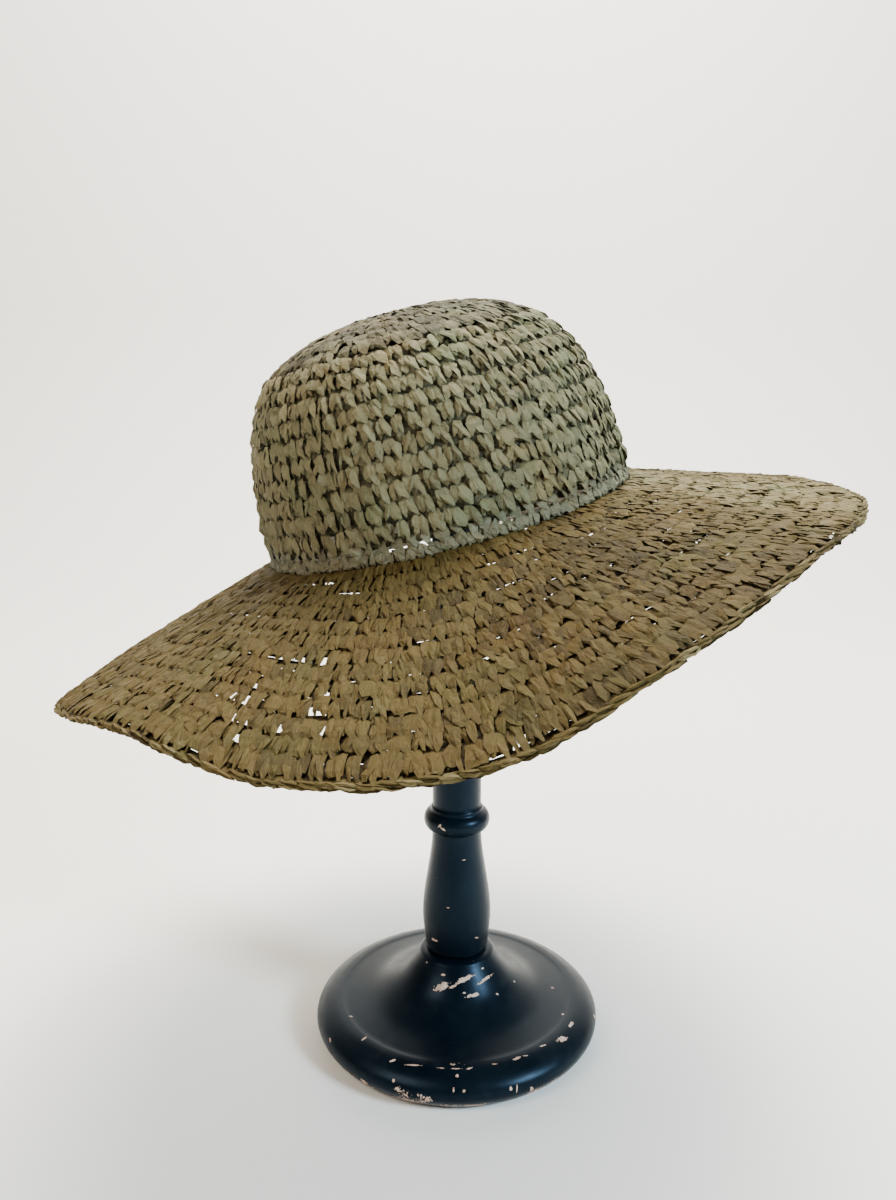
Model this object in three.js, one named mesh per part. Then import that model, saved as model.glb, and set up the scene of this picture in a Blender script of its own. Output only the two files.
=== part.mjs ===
// A crocheted wide-brim sun hat resting on a turned and painted wooden hat stand.
// Millimetres, +Z up, the stand's flat underside on z = 0 and its axis on the Z axis.
// The front, as photographed, faces -Y.
import * as THREE from 'three';

// Sizes of the cloth
const CLOTH_THICKNESS = 2.8;
const RIB_HEIGHT = 1.4; // from the groove between two crochet rows to the crest of a row
const GAP = 0.3; // left between neighbouring pieces

// How the hat sits: tipped down to its left, a little down at the front
const HAT_ROLL_DEG = 14.5;
const HAT_PITCH_DEG = 1.0;
const HAT_POSITION = { x: -4.5, y: 0, z: 301 };

// Outer line of the crown, from its base up to the middle of its top
const CROWN_SECTIONS = [
  { height: 0, radius: 96.5, shift: 0 },
  { height: 30, radius: 94.5, shift: 0 },
  { height: 57, radius: 89.5, shift: 0 },
  { height: 78, radius: 80.5, shift: -1 },
  { height: 93, radius: 67, shift: -2 },
  { height: 102, radius: 48, shift: -2 },
  { height: 107, radius: 25, shift: -2 },
  { height: 108, radius: 0, shift: -2 },
];
const CROWN_ROWS = 19; // the lowest of them is the base row
const CROWN_SEGMENTS = 40;
const CROWN_LINING_RINGS = 9;

// The brim round the head: 0 is the wearer's side on +X, 90 the far side, 270 the near side
const BRIM_SECTIONS = [
  { azimuth: 0, droop: 19.5, width: 122 },
  { azimuth: 22.5, droop: 18, width: 124 },
  { azimuth: 45, droop: 19.5, width: 124 },
  { azimuth: 67.5, droop: 20, width: 124 },
  { azimuth: 90, droop: 20, width: 124 },
  { azimuth: 112.5, droop: 19, width: 125 },
  { azimuth: 135, droop: 18, width: 126 },
  { azimuth: 157.5, droop: 17.5, width: 127 },
  { azimuth: 180, droop: 17.5, width: 128 },
  { azimuth: 202.5, droop: 14, width: 124 },
  { azimuth: 225, droop: 14.5, width: 117 },
  { azimuth: 247.5, droop: 22.5, width: 127 },
  { azimuth: 270, droop: 27, width: 128 },
  { azimuth: 292.5, droop: 18.5, width: 121 },
  { azimuth: 315, droop: 13, width: 116 },
  { azimuth: 337.5, droop: 18, width: 113 },
];
const BRIM_ROWS = 13;
const BRIM_SEGMENTS = 56;
const BRIM_UNDERSIDE_RINGS = 4;
const EDGING_HALF_WIDTH = 2.8;
const EDGING_HALF_HEIGHT = 2.3;
const EDGING_SIDES = 8;

// Turned profiles of the stand, from the axis at the bottom round to the axis at the top
const BASE_PROFILE = [
  { radius: 0, height: 0 },
  { radius: 71, height: 0 },
  { radius: 76, height: 1.6 },
  { radius: 79.8, height: 4.8 },
  { radius: 81.7, height: 9 },
  { radius: 80.8, height: 13.2 },
  { radius: 77.3, height: 17 },
  { radius: 72, height: 19.6 },
  { radius: 66, height: 20.2 },
  { radius: 50, height: 23 },
  { radius: 41, height: 27.2 },
  { radius: 33, height: 33 },
  { radius: 26, height: 41 },
  { radius: 21.4, height: 48.2 },
  { radius: 19, height: 49.7 },
  { radius: 0, height: 49.7 },
];
const STEM_PROFILE = [
  { radius: 0, height: 50 },
  { radius: 16.6, height: 50 },
  { radius: 17.8, height: 52.8 },
  { radius: 19.1, height: 64 },
  { radius: 19.5, height: 73 },
  { radius: 18.7, height: 84 },
  { radius: 16.4, height: 99.5 },
  { radius: 14.4, height: 113 },
  { radius: 13.7, height: 123.6 },
  { radius: 16.4, height: 124.4 },
  { radius: 18.1, height: 126.8 },
  { radius: 18.6, height: 129.4 },
  { radius: 18, height: 132 },
  { radius: 16.2, height: 134 },
  { radius: 14.4, height: 134.9 },
  { radius: 13.7, height: 137.6 },
  { radius: 13.6, height: 365.7 },
  { radius: 0, height: 365.7 },
];
const REST_PROFILE = [
  { radius: 0, height: 366 },
  { radius: 50, height: 366 },
  { radius: 54.5, height: 368.5 },
  { radius: 56.5, height: 373.5 },
  { radius: 55, height: 380 },
  { radius: 50, height: 387.3 },
  { radius: 42, height: 394.8 },
  { radius: 32, height: 401 },
  { radius: 20, height: 404.9 },
  { radius: 8, height: 407 },
  { radius: 0, height: 407.3 },
];
const BASE_SEGMENTS = 40;
const STEM_SEGMENTS = 24;
const REST_SEGMENTS = 32;

// Finishes
const CROWN_STRAW = { color: 0x8a8468, roughness: 0.72, metalness: 0 };
const BASE_ROW_STRAW = { color: 0x8d9187, roughness: 0.55, metalness: 0 };
const BRIM_STRAW = { color: 0x85704a, roughness: 0.72, metalness: 0 };
const EDGING_STRAW = { color: 0x8a744a, roughness: 0.7, metalness: 0 };
const STAND_PAINT = { color: 0x1c2428, roughness: 0.42, metalness: 0 };

// Joins rows of points into one closed skin, faces outward. A row of one point closes an end;
// a looped skin joins its last row back to its first instead.
function skin(rows, looped = false) {
  const points = rows.flat();
  const starts = [];
  let count = 0;
  for (const row of rows) {
    starts.push(count);
    count += row.length;
  }
  const faces = [];
  const bands = looped ? rows.length : rows.length - 1;
  for (let i = 0; i < bands; i += 1) {
    const next = (i + 1) % rows.length;
    const around = Math.max(rows[i].length, rows[next].length);
    for (let k = 0; k < around; k += 1) {
      const low = (j) => starts[i] + (rows[i].length === 1 ? 0 : j % around);
      const high = (j) => starts[next] + (rows[next].length === 1 ? 0 : j % around);
      if (rows[i].length > 1) faces.push([low(k), low(k + 1), high(k)]);
      if (rows[next].length > 1) faces.push([low(k + 1), high(k + 1), high(k)]);
    }
  }
  const volume = faces.reduce(
    (sum, [a, b, c]) => sum + points[a].dot(points[b].clone().cross(points[c])), 0);
  const outward = volume > 0 ? faces : faces.map(([a, b, c]) => [a, c, b]);
  const geometry = new THREE.BufferGeometry().setFromPoints(points);
  geometry.setIndex(outward.flat());
  geometry.computeVertexNormals();
  return geometry;
}

function circle(radius, height, segments, shift = 0) {
  const ring = [];
  for (let k = 0; k < segments; k += 1) {
    const angle = (2 * Math.PI * k) / segments;
    ring.push(new THREE.Vector3(radius * Math.cos(angle) + shift, radius * Math.sin(angle), height));
  }
  return ring;
}

function turned(profile, segments) {
  return skin(profile.map(({ radius, height }) => (
    radius === 0 ? [new THREE.Vector3(0, 0, height)] : circle(radius, height, segments))));
}

const object = new THREE.Group();

function addPiece(name, geometry, finish) {
  const piece = new THREE.Mesh(geometry, new THREE.MeshStandardMaterial(finish));
  piece.name = name;
  object.add(piece);
}

const hatPlace = new THREE.Matrix4()
  .makeTranslation(HAT_POSITION.x, HAT_POSITION.y, HAT_POSITION.z)
  .multiply(new THREE.Matrix4().makeRotationY(-THREE.MathUtils.degToRad(HAT_ROLL_DEG)))
  .multiply(new THREE.Matrix4().makeRotationX(THREE.MathUtils.degToRad(HAT_PITCH_DEG)));

function addHatPiece(name, geometry, finish) {
  addPiece(name, geometry.applyMatrix4(hatPlace), finish);
}

// Crown wall, worked in rounds from the middle of the top down to the base row
const crownLine = new THREE.CatmullRomCurve3(
  CROWN_SECTIONS.map(({ height, radius, shift }) => new THREE.Vector3(radius, shift, height)),
  false, 'centripetal');
const crownArc = crownLine.getLength();

// A ring on the crown at a share of the way up its line, moved out of the cloth by `out`
function crownRing(share, out) {
  const here = crownLine.getPointAt(share);
  const way = crownLine.getTangentAt(share);
  const length = Math.hypot(way.x, way.z);
  const radius = here.x + (out * way.z) / length;
  const height = here.z - (out * way.x) / length;
  return circle(radius, height, CROWN_SEGMENTS, here.y);
}

const crownBottom = 1 / CROWN_ROWS + GAP / crownArc;
const crownTop = CROWN_SECTIONS[CROWN_SECTIONS.length - 1];
const crownOutside = [crownRing(crownBottom, -RIB_HEIGHT / 2)];
for (let row = 1; row < CROWN_ROWS; row += 1) {
  if (row > 1) crownOutside.push(crownRing(row / CROWN_ROWS, -RIB_HEIGHT / 2));
  crownOutside.push(crownRing((row + 0.5) / CROWN_ROWS, RIB_HEIGHT / 2));
}
crownOutside.push([new THREE.Vector3(crownTop.shift, 0, crownTop.height)]);
const crownInside = [[new THREE.Vector3(crownTop.shift, 0, crownTop.height - CLOTH_THICKNESS)]];
for (let ring = CROWN_LINING_RINGS; ring >= 0; ring -= 1) {
  const share = THREE.MathUtils.lerp(crownBottom, 1, ring / (CROWN_LINING_RINGS + 1));
  crownInside.push(crownRing(share, -CLOTH_THICKNESS));
}
addHatPiece('crown', skin([...crownInside, ...crownOutside].reverse()), CROWN_STRAW);

// Base row, one finer round of straw between the crown and the brim
const baseRowSection = [
  { share: 0.03, out: -CLOTH_THICKNESS },
  { share: 0.03, out: -RIB_HEIGHT / 2 },
  { share: 0.3, out: RIB_HEIGHT / 2 },
  { share: 0.7, out: RIB_HEIGHT / 2 },
  { share: 1, out: -RIB_HEIGHT / 2 },
  { share: 1, out: -CLOTH_THICKNESS },
];
addHatPiece('base_row', skin(
  baseRowSection.map(({ share, out }) => crownRing(share / CROWN_ROWS, out)), true), BASE_ROW_STRAW);

// Brim, worked in rounds from the base row out to the edging
const brimStartRadius = CROWN_SECTIONS[0].radius - CLOTH_THICKNESS / 2;
const brimEdgeLine = new THREE.CatmullRomCurve3(
  BRIM_SECTIONS.map(({ azimuth, droop, width }) => {
    const angle = THREE.MathUtils.degToRad(azimuth);
    const fall = THREE.MathUtils.degToRad(droop);
    const reach = CROWN_SECTIONS[0].radius + width * Math.cos(fall);
    return new THREE.Vector3(reach * Math.cos(angle), reach * Math.sin(angle), -width * Math.sin(fall));
  }), true, 'catmullrom', 0.5);

// A closed line on the brim, `inset` short of the hat's edge where share is 1, moved up by `out`
function brimRing(share, out, inset) {
  const ring = [];
  for (let k = 0; k < BRIM_SEGMENTS; k += 1) {
    const angle = (2 * Math.PI * k) / BRIM_SEGMENTS;
    const start = new THREE.Vector3(
      brimStartRadius * Math.cos(angle), brimStartRadius * Math.sin(angle), 0);
    const run = brimEdgeLine.getPoint(k / BRIM_SEGMENTS).sub(start);
    const width = run.length();
    run.normalize();
    const level = Math.hypot(run.x, run.y);
    const up = new THREE.Vector3((-run.z * run.x) / level, (-run.z * run.y) / level, level);
    ring.push(start.addScaledVector(run, share * (width - inset)).addScaledVector(up, out));
  }
  return ring;
}

const brimInset = 2 * EDGING_HALF_WIDTH + GAP;
const brimLift = -GAP;
const brimSkin = [brimRing(0, brimLift, brimInset)];
for (let row = 0; row < BRIM_ROWS; row += 1) {
  if (row > 0) brimSkin.push(brimRing(row / BRIM_ROWS, brimLift - RIB_HEIGHT / 2, brimInset));
  brimSkin.push(brimRing((row + 0.5) / BRIM_ROWS, brimLift + RIB_HEIGHT / 2, brimInset));
}
brimSkin.push(brimRing(1, brimLift - RIB_HEIGHT / 2, brimInset));
for (let ring = BRIM_UNDERSIDE_RINGS; ring >= 0; ring -= 1) {
  brimSkin.push(brimRing(ring / BRIM_UNDERSIDE_RINGS, brimLift - CLOTH_THICKNESS, brimInset));
}
addHatPiece('brim', skin(brimSkin, true), BRIM_STRAW);

// Edging, the rope-like last round along the edge of the brim
const edgingSkin = [];
for (let side = 0; side < EDGING_SIDES; side += 1) {
  const turn = (2 * Math.PI * side) / EDGING_SIDES;
  const inset = EDGING_HALF_WIDTH * (1 + Math.cos(turn));
  const lift = brimLift - CLOTH_THICKNESS / 2 + EDGING_HALF_HEIGHT * Math.sin(turn);
  edgingSkin.push(brimRing(1, lift, inset));
}
addHatPiece('brim_edging', skin(edgingSkin, true), EDGING_STRAW);

// Stand: a dished round base, a turned stem with one ring, and the dome the crown hangs on
addPiece('stand_base', turned(BASE_PROFILE, BASE_SEGMENTS), STAND_PAINT);
addPiece('stand_stem', turned(STEM_PROFILE, STEM_SEGMENTS), STAND_PAINT);
addPiece('stand_rest', turned(REST_PROFILE, REST_SEGMENTS), STAND_PAINT);

export default object;
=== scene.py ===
# A crocheted straw sun hat with a wide drooping brim, hung on a turned wooden hat stand.
# Sizes are in millimetres until a mesh is made; the row frame and Blender are in metres.
import math

import bpy
import numpy as np
from mathutils import Matrix


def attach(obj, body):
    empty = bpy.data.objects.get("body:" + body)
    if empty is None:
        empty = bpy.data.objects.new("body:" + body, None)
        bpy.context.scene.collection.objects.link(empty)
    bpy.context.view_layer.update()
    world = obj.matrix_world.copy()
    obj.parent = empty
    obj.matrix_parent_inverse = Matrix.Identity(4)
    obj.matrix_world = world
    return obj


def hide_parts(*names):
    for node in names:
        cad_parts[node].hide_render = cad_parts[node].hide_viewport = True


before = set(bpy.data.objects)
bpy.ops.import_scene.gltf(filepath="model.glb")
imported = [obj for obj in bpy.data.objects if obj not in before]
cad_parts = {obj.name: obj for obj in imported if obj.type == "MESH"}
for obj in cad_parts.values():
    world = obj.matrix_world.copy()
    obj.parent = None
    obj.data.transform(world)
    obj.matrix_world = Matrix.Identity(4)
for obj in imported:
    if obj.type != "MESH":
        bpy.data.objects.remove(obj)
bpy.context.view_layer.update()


# Camera: where the photograph was taken from
# Upright, about half a metre in front of the hat, a little above its brim and looking slightly
# down. The charts of paint chips and of open stitches are read back through it too.

PHOTO_WIDTH, PHOTO_HEIGHT = 896, 1200
PHOTO_FOCAL = 1031
CAMERA_PLACE = np.array([-0.005, -0.545, 0.374])
CAMERA_DROP = math.radians(12.3)

lens = bpy.data.cameras.new("camera")
lens.sensor_fit = "VERTICAL"
lens.sensor_height = 24.0
lens.lens = lens.sensor_height * PHOTO_FOCAL / PHOTO_HEIGHT
lens.clip_start = 0.02
camera = bpy.data.objects.new("camera", lens)
camera.location = CAMERA_PLACE
camera.rotation_euler = (math.radians(90) - CAMERA_DROP, 0, 0)
bpy.context.scene.collection.objects.link(camera)
bpy.context.scene.camera = camera


def in_photo(points):
    """Where points in metres are seen in the photograph, in its pixels."""
    away = points - CAMERA_PLACE
    depth = away[..., 1] * math.cos(CAMERA_DROP) - away[..., 2] * math.sin(CAMERA_DROP)
    rise = away[..., 1] * math.sin(CAMERA_DROP) + away[..., 2] * math.cos(CAMERA_DROP)
    return np.stack([PHOTO_WIDTH / 2 + PHOTO_FOCAL * away[..., 0] / depth,
                     PHOTO_HEIGHT / 2 - PHOTO_FOCAL * rise / depth], -1)


# Stand: turned wood
# A flat round foot with a rolled rim and a dished top, a stem with a baluster and one ring,
# and a plain dome that the crown hangs on. Turned from wood, glued end to end, painted
# blue-black over a pale pink ground that shows where the paint is knocked off.

# radius and height of each point of a turned piece's line, from its bottom up
BASE_LINE = [(0, 0), (71, 0), (71, 0), (76, 1.4), (79.8, 4.8), (81.7, 9), (80.9, 13.2), (77.3, 17),
             (72, 19.7), (67.5, 20.6), (63, 20.7), (50, 23), (41, 27.2), (33, 33), (26, 41), (22.4, 46.2),
             (20.8, 48.6), (18.6, 49.5), (17, 49.6), (17, 49.6), (0, 49.7)]
STEM_LINE = [(0, 50), (16.4, 50), (16.4, 50), (17.5, 51.4), (18, 54), (19.1, 64), (19.5, 73), (18.7, 84),
             (16.4, 99.5), (14.4, 113), (13.7, 123.4), (13.7, 123.4), (14.8, 123.8), (16.6, 124.5),
             (18.1, 126.8), (18.6, 129.4), (18, 132), (16.6, 133.8), (14.8, 134.7), (14.8, 134.7),
             (14.5, 136.4), (13.9, 137.4), (13.9, 137.4), (13.7, 140), (13.6, 250), (13.6, 365.6),
             (13.6, 365.6), (0, 365.7)]
REST_LINE = [(0, 366), (50, 366), (50, 366), (54.5, 368.2), (56.5, 373.5), (55, 380), (50, 387.3),
             (42, 394.8), (32, 401), (20, 404.9), (8, 407), (0, 407.3)]
LINE_STEP = 1.0
# a run that changes its radius by less than this is nearly straight, and takes few points
STRAIGHT_LEAN, STRAIGHT_POINTS = 2, 12
TURNED_SEGMENTS = 144


def rounded(points, step):
    """A smooth line through the points, about one point a step; a doubled point is a corner."""
    points = np.array(points, float)
    ends = np.vstack([2 * points[0] - points[1], points, 2 * points[-1] - points[-2]])
    line = []
    for before, here, there, after in zip(ends, ends[1:], ends[2:], ends[3:]):
        gap = np.hypot(*(there - here)[:2])
        if gap < 1e-6:
            continue
        near = (there - before) / 2 if np.hypot(*(here - before)[:2]) > 1e-6 else there - here
        far = (after - here) / 2 if np.hypot(*(after - there)[:2]) > 1e-6 else there - here
        count = max(2, int(round(gap / step)))
        if abs(there[0] - here[0]) < STRAIGHT_LEAN:
            count = min(count, STRAIGHT_POINTS)
        t = np.arange(count)[:, None] / count
        line.append((2 * t ** 3 - 3 * t ** 2 + 1) * here + (t ** 3 - 2 * t ** 2 + t) * near
                    + (3 * t ** 2 - 2 * t ** 3) * there + (t ** 3 - t ** 2) * far)
    return np.vstack(line + [points[-1:]])


def turned(name, line, segments=TURNED_SEGMENTS):
    """A turned piece: the line spun round the stand's axis, closed on the axis at both ends."""
    inner = line[1:-1]
    angle = np.arange(segments) * 2 * math.pi / segments
    rings = np.stack([inner[:, :1] * np.cos(angle), inner[:, :1] * np.sin(angle),
                      np.repeat(inner[:, 1:2], segments, 1)], -1)
    verts = np.vstack([rings.reshape(-1, 3), [[0, 0, line[0, 1]], [0, 0, line[-1, 1]]]]) / 1000
    faces = []
    last = len(inner) - 1
    for i in range(last):
        low, high = i * segments, (i + 1) * segments
        for k in range(segments):
            j = (k + 1) % segments
            faces.append((low + k, low + j, high + j, high + k))
    bottom, top = len(verts) - 2, len(verts) - 1
    for k in range(segments):
        j = (k + 1) % segments
        faces.append((bottom, j, k))
        faces.append((top, last * segments + k, last * segments + j))
    mesh = bpy.data.meshes.new(name)
    mesh.from_pydata(verts.tolist(), [], faces)
    mesh.polygons.foreach_set("use_smooth", [True] * len(faces))
    piece = bpy.data.objects.new(name, mesh)
    bpy.context.scene.collection.objects.link(piece)
    return piece


def node(tree, kind, **settings):
    """A new node with its properties and, by name or number, its input values set."""
    made = tree.nodes.new(kind)
    for key, value in settings.items():
        if key == "inputs":
            for socket, amount in value.items():
                made.inputs[socket].default_value = amount
        else:
            setattr(made, key, value)
    return made


def math_node(tree, operation, a, b=None):
    """One Math node; a and b are sockets or numbers. Returns its output socket."""
    made = node(tree, "ShaderNodeMath", operation=operation)
    for slot, value in zip(made.inputs, (a, b)):
        if value is None:
            continue
        if isinstance(value, (int, float)):
            slot.default_value = value
        else:
            tree.links.new(value, slot)
    return made.outputs[0]


def mix_node(tree, factor, a, b, blend="MIX"):
    """One colour Mix node; each of factor, a and b is a socket or a value."""
    made = node(tree, "ShaderNodeMix", data_type="RGBA", blend_type=blend)
    for slot, value in ((made.inputs[0], factor), (made.inputs[6], a), (made.inputs[7], b)):
        if isinstance(value, bpy.types.NodeSocket):
            tree.links.new(value, slot)
        else:
            slot.default_value = value
    return made.outputs[2]


def range_node(tree, value, low, high, to_low=0.0, to_high=1.0, smooth=True):
    """One Map Range node from low..high to to_low..to_high, clamped."""
    made = node(tree, "ShaderNodeMapRange", interpolation_type="SMOOTHSTEP" if smooth else "LINEAR",
                inputs={1: low, 2: high, 3: to_low, 4: to_high})
    tree.links.new(value, made.inputs[0])
    return made.outputs[0]


def new_group(name, inputs, outputs):
    """A shader node group with named inputs and outputs; returns it with its end nodes."""
    group = bpy.data.node_groups.new(name, "ShaderNodeTree")
    for label, kind, value in inputs:
        group.interface.new_socket(label, in_out="INPUT", socket_type=kind).default_value = value
    for label, kind in outputs:
        group.interface.new_socket(label, in_out="OUTPUT", socket_type=kind)
    return group, group.nodes.new("NodeGroupInput"), group.nodes.new("NodeGroupOutput")


def new_material(name, **constants):
    """A material with one Principled shader whose constant values are set on its own sockets."""
    material = bpy.data.materials.new(name)
    material.use_nodes = True
    shader = material.node_tree.nodes["Principled BSDF"]
    for label, value in constants.items():
        shader.inputs[label.replace("_", " ")].default_value = value
    return material, material.node_tree, shader


# Paint knocked off in small patches: Reach is 0 in the middle of a patch and 1 at its end, and
# Mask is 1 where the paint is gone, with a ragged edge.
chip_group, chip_in, chip_out = new_group("paint_chips", [("Reach", "NodeSocketFloat", 9.0)],
                                          [("Mask", "NodeSocketFloat")])
where = node(chip_group, "ShaderNodeTexCoord")
ragged = node(chip_group, "ShaderNodeTexNoise", inputs={"Scale": 620.0, "Detail": 2.0, "Roughness": 0.6})
chip_group.links.new(where.outputs["Object"], ragged.inputs["Vector"])
uneven = math_node(chip_group, "ADD", chip_in.outputs["Reach"], math_node(
    chip_group, "MULTIPLY", math_node(chip_group, "SUBTRACT", ragged.outputs["Fac"], 0.5), 2.0))
chip_group.links.new(range_node(chip_group, uneven, 0.86, 1.0, 1.0, 0.0), chip_out.inputs["Mask"])

# Scattered small chips and rubbed edges: Wear says how hard each place was handled.
scuff_group, scuff_in, scuff_out = new_group("scuffed_paint", [("Wear", "NodeSocketFloat", 0.0)],
                                             [("Mask", "NodeSocketFloat"), ("Grime", "NodeSocketFloat")])
where = node(scuff_group, "ShaderNodeTexCoord")
specks = node(scuff_group, "ShaderNodeTexNoise", inputs={"Scale": 850.0, "Detail": 2.0, "Roughness": 0.5})
patches = node(scuff_group, "ShaderNodeTexNoise", inputs={"Scale": 95.0, "Detail": 4.0, "Roughness": 0.62})
broad = node(scuff_group, "ShaderNodeTexNoise", inputs={"Scale": 26.0, "Detail": 4.0, "Roughness": 0.6})
for texture in (specks, patches, broad):
    scuff_group.links.new(where.outputs["Object"], texture.inputs["Vector"])
spotted = math_node(scuff_group, "ADD", math_node(scuff_group, "MULTIPLY", specks.outputs["Fac"], 0.42),
                    math_node(scuff_group, "MULTIPLY", patches.outputs["Fac"], 0.58))
limit = range_node(scuff_group, scuff_in.outputs["Wear"], 0.0, 1.0, 0.74, 0.48, smooth=False)
over = math_node(scuff_group, "SUBTRACT", spotted, limit)
scuff_group.links.new(range_node(scuff_group, over, 0.0, 0.018), scuff_out.inputs["Mask"])
scuff_group.links.new(broad.outputs["Fac"], scuff_out.inputs["Grime"])

# The larger chips, from one end to the other in the photograph's pixels, and their width in mm
FOOT_CHIPS = [
    (434, 989.5, 449, 984.5, 4.0), (450, 988, 456, 984.5, 1.7), (456.5, 983, 473, 974.5, 2.6),
    (477, 984.5, 492, 974.5, 1.7), (466.5, 997, 479, 994, 2.0), (440, 974.5, 446, 975, 1.0),
    (481, 969, 484, 968.5, 0.9), (555, 965, 557, 965.5, 1.4), (463, 993, 465, 993, 1.0),
    (514, 981.5, 515, 981.5, 1.0), (497, 994, 498, 994.5, 1.0), (426, 963, 427, 962.5, 1.0),
    (349, 1016, 353, 1016, 1.0), (362, 1040, 366, 1037, 1.3), (330, 1038, 330.5, 1042.5, 1.2),
    (390.5, 1062, 395, 1060, 1.4), (406, 1064.5, 421.5, 1065.5, 1.0), (436, 1068, 445, 1068.5, 0.6),
    (450, 1068.5, 462, 1068.5, 0.6), (466, 1069, 472.5, 1067.5, 1.1), (492, 1064.5, 498, 1063.5, 0.8),
    (513.5, 1060, 521.5, 1056.5, 1.6), (522, 1056, 527.5, 1055.5, 0.6), (540, 1046.5, 547, 1044, 1.0),
    (557, 1040, 567, 1037.5, 3.0), (569, 1027, 573, 1022, 2.0), (562, 1014, 563.5, 1014, 1.4),
    (593.5, 1015.5, 596, 1018.5, 2.2), (348, 1073, 349, 1073.5, 2.0), (361, 1080, 368, 1084, 3.0),
    (392.5, 1080.5, 394, 1080.5, 1.6), (396, 1089.5, 398.5, 1089.5, 2.4), (456, 1076, 457.5, 1076, 1.8),
    (453, 1088, 454, 1092, 1.2), (463, 1090, 465, 1092, 1.6), (510.5, 1087, 511.5, 1090.5, 1.7),
    (516.5, 1084, 517, 1093, 0.7), (532.5, 1086, 531.5, 1091, 2.2), (518, 1098, 521, 1097, 1.8)]
STEM_CHIPS = [
    (431, 938, 437, 941.5, 1.6), (475.5, 937.5, 478.5, 937.5, 0.8), (447, 907.5, 449, 907.5, 0.6),
    (437.5, 827, 441, 825.5, 1.2), (441, 828, 445, 831, 1.4), (462, 860, 466, 860.5, 0.4)]


# how squarely a point has to face the camera to be read, and how far in metres a chip's rounded
# end goes past the place charted for it
FACING, CHIP_END = 0.02, 0.0002
# how deep in metres a chip's mark goes into the piece, so that it shows on one side only
CHIP_DEPTH = 0.005


def turned_points(line, finest=0.5):
    """Points on the front of a turned piece, in metres, and the way its surface faces at each."""
    radius, height = rounded(line, finest).T[:2]
    angle = np.radians(np.arange(181, 360, 0.5))[:, None]
    slope_radius, slope_height = np.gradient(radius), np.gradient(height)
    steep = np.hypot(slope_radius, slope_height) + 1e-9
    spots = np.stack([radius * np.cos(angle), radius * np.sin(angle), height + 0 * angle], -1) / 1000
    faces = np.stack([slope_height / steep * np.cos(angle), slope_height / steep * np.sin(angle),
                      -slope_radius / steep + 0 * angle], -1)
    seen = ((CAMERA_PLACE - spots) * faces).sum(-1) > FACING
    return spots[seen], faces[seen]


def charted(line, chips):
    """Each charted chip's middle, turn, half length and half width on a turned piece, in metres."""
    spots, faces = turned_points(line)
    seen_at = in_photo(spots)
    found = []
    for x0, y0, x1, y1, width in chips:
        ends = [np.hypot(*(seen_at - (x, y)).T).argmin() for x, y in ((x0, y0), (x1, y1))]
        start, end = spots[ends[0]], spots[ends[1]]
        out = faces[ends[0]] + faces[ends[1]]
        out /= np.linalg.norm(out)
        along = (end - start) - out * np.dot(end - start, out)
        along /= np.linalg.norm(along) + 1e-9
        turn = Matrix((along, np.cross(out, along), out)).transposed().to_euler("XYZ")
        length = max(np.linalg.norm(end - start) / 2 + CHIP_END, width / 2000)
        found.append((tuple((start + end) / 2), tuple(turn), length, width / 2000))
    return found


def painted(name, chips):
    """Satin blue-black paint over a pink ground, with its chips and scuffs."""
    material, tree, shader = new_material(name, Specular_IOR_Level=0.14,
                                          Specular_Tint=(0.46, 0.70, 1.0, 1))
    wear = node(tree, "ShaderNodeAttribute", attribute_name="wear")
    scuffs = node(tree, "ShaderNodeGroup", node_tree=scuff_group)
    tree.links.new(wear.outputs["Fac"], scuffs.inputs["Wear"])
    where = node(tree, "ShaderNodeTexCoord")
    reach = None
    for middle, turn, length, width in chips:
        patch = node(tree, "ShaderNodeMapping", vector_type="TEXTURE", inputs={
            "Location": middle, "Rotation": turn, "Scale": (length, width, CHIP_DEPTH)})
        tree.links.new(where.outputs["Object"], patch.inputs["Vector"])
        far = node(tree, "ShaderNodeVectorMath", operation="LENGTH")
        tree.links.new(patch.outputs[0], far.inputs[0])
        if reach is None:
            reach = far.outputs["Value"]
        else:
            reach = math_node(tree, "MINIMUM", reach, far.outputs["Value"])
    patches = node(tree, "ShaderNodeGroup", node_tree=chip_group)
    tree.links.new(reach, patches.inputs["Reach"])
    bare = math_node(tree, "MAXIMUM", scuffs.outputs["Mask"], patches.outputs["Mask"])
    cloudy = node(tree, "ShaderNodeTexNoise", inputs={"Scale": 160.0, "Detail": 5.0, "Roughness": 0.7})
    tree.links.new(where.outputs["Object"], cloudy.inputs["Vector"])
    paint = mix_node(tree, range_node(tree, scuffs.outputs["Grime"], 0.35, 0.7),
                     (0.0009, 0.0032, 0.0062, 1), (0.0030, 0.0066, 0.0100, 1))
    faint = range_node(tree, cloudy.outputs["Fac"], 0.56, 0.75, 0.0, 0.5)
    paint = mix_node(tree, faint, paint, (0.008, 0.014, 0.018, 1))
    streak = range_node(tree, cloudy.outputs["Fac"], 0.35, 0.65)
    ground = mix_node(tree, streak, (0.44, 0.27, 0.19, 1), (0.62, 0.46, 0.36, 1))
    tree.links.new(mix_node(tree, bare, paint, ground), shader.inputs["Base Color"])
    tree.links.new(math_node(tree, "ADD", math_node(tree, "MULTIPLY", bare, 0.35), range_node(
        tree, cloudy.outputs["Fac"], 0.3, 0.75, 0.28, 0.39)), shader.inputs["Roughness"])
    relief = math_node(tree, "SUBTRACT", math_node(tree, "MULTIPLY", cloudy.outputs["Fac"], 0.10),
                       scuffs.outputs["Mask"])
    bump = node(tree, "ShaderNodeBump", inputs={"Strength": 0.5, "Distance": 0.0003})
    tree.links.new(relief, bump.inputs["Height"])
    tree.links.new(bump.outputs[0], shader.inputs["Normal"])
    return material


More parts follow.
